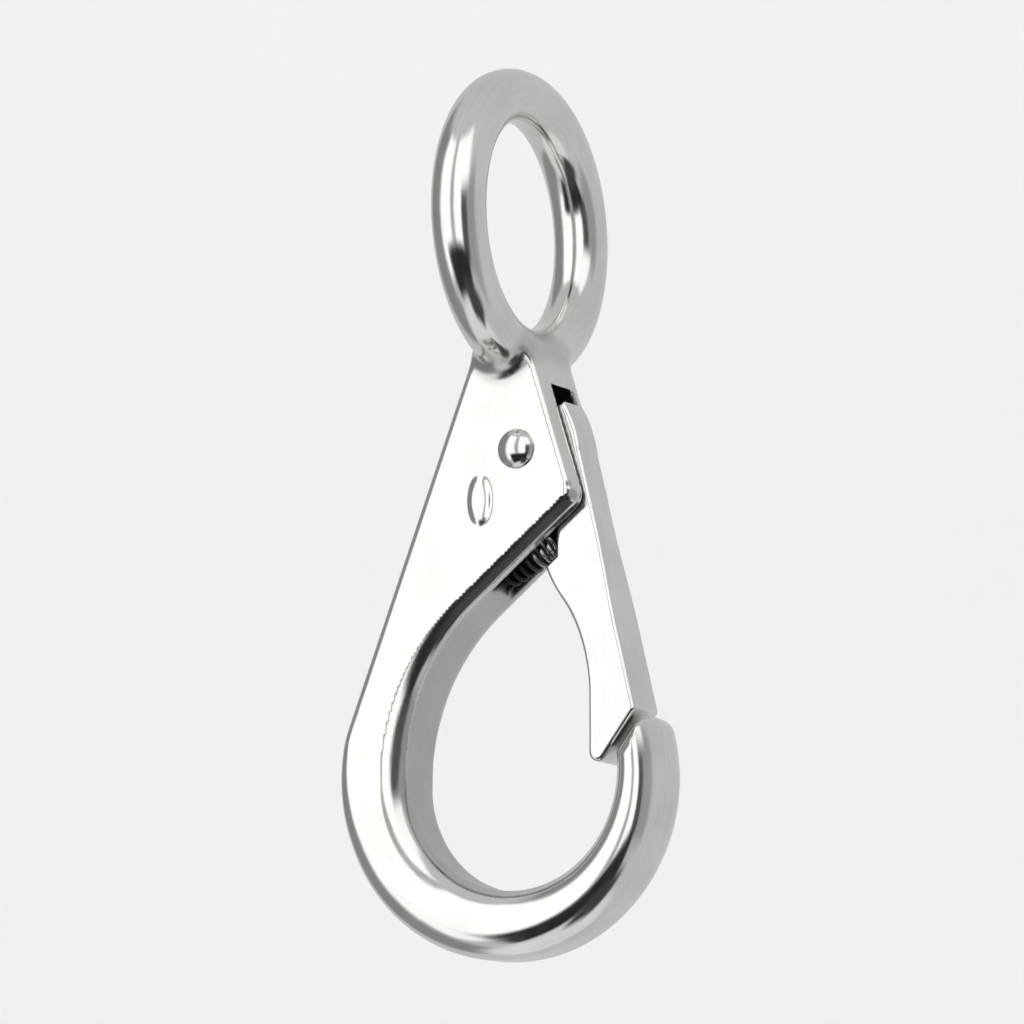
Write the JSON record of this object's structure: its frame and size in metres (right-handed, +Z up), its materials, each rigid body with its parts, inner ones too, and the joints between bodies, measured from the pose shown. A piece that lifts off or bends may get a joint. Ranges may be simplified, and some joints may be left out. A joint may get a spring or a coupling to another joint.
{
  "type": "eye hook with latch",
  "caption": "Fixed-eye snap hook: one-piece cast body with an eye turned a quarter turn, and a sprung gate on a rivet that closes against the nose.",
  "frame": {"origin": "centre of the eye", "axes": "+Z up along the hook from its bowl to its eye, +X towards the gate and nose, +X also along the eye's hole, +Y completes the right-handed set; the hook's flat faces look along Y"},
  "size_m": [0.0323, 0.029, 0.082],
  "materials": {
    "polished_casting": "cast stainless steel, tumbled and polished",
    "polished_gate": "cast stainless steel, polished with a satin spine",
    "rivet_steel": "drawn stainless rivet, polished dome",
    "spring_wire": "drawn stainless spring wire"
  },
  "bodies": {
    "hook": {"hook_body": "polished_casting", "pivot_pin": "rivet_steel", "gate_spring": "spring_wire"},
    "gate": {"gate": "polished_gate"}
  },
  "joints": [
    {"name": "gate_hinge", "type": "hinge", "parent": "hook", "child": "gate", "pos_m": [0.0016, 0, -0.0214], "axis": [0, 1, 0], "range_deg": [0, 27], "stiffness_Nm_per_rad": 0.05, "springref_deg": -28.65, "deforming": ["gate_spring"]}
  ]
}
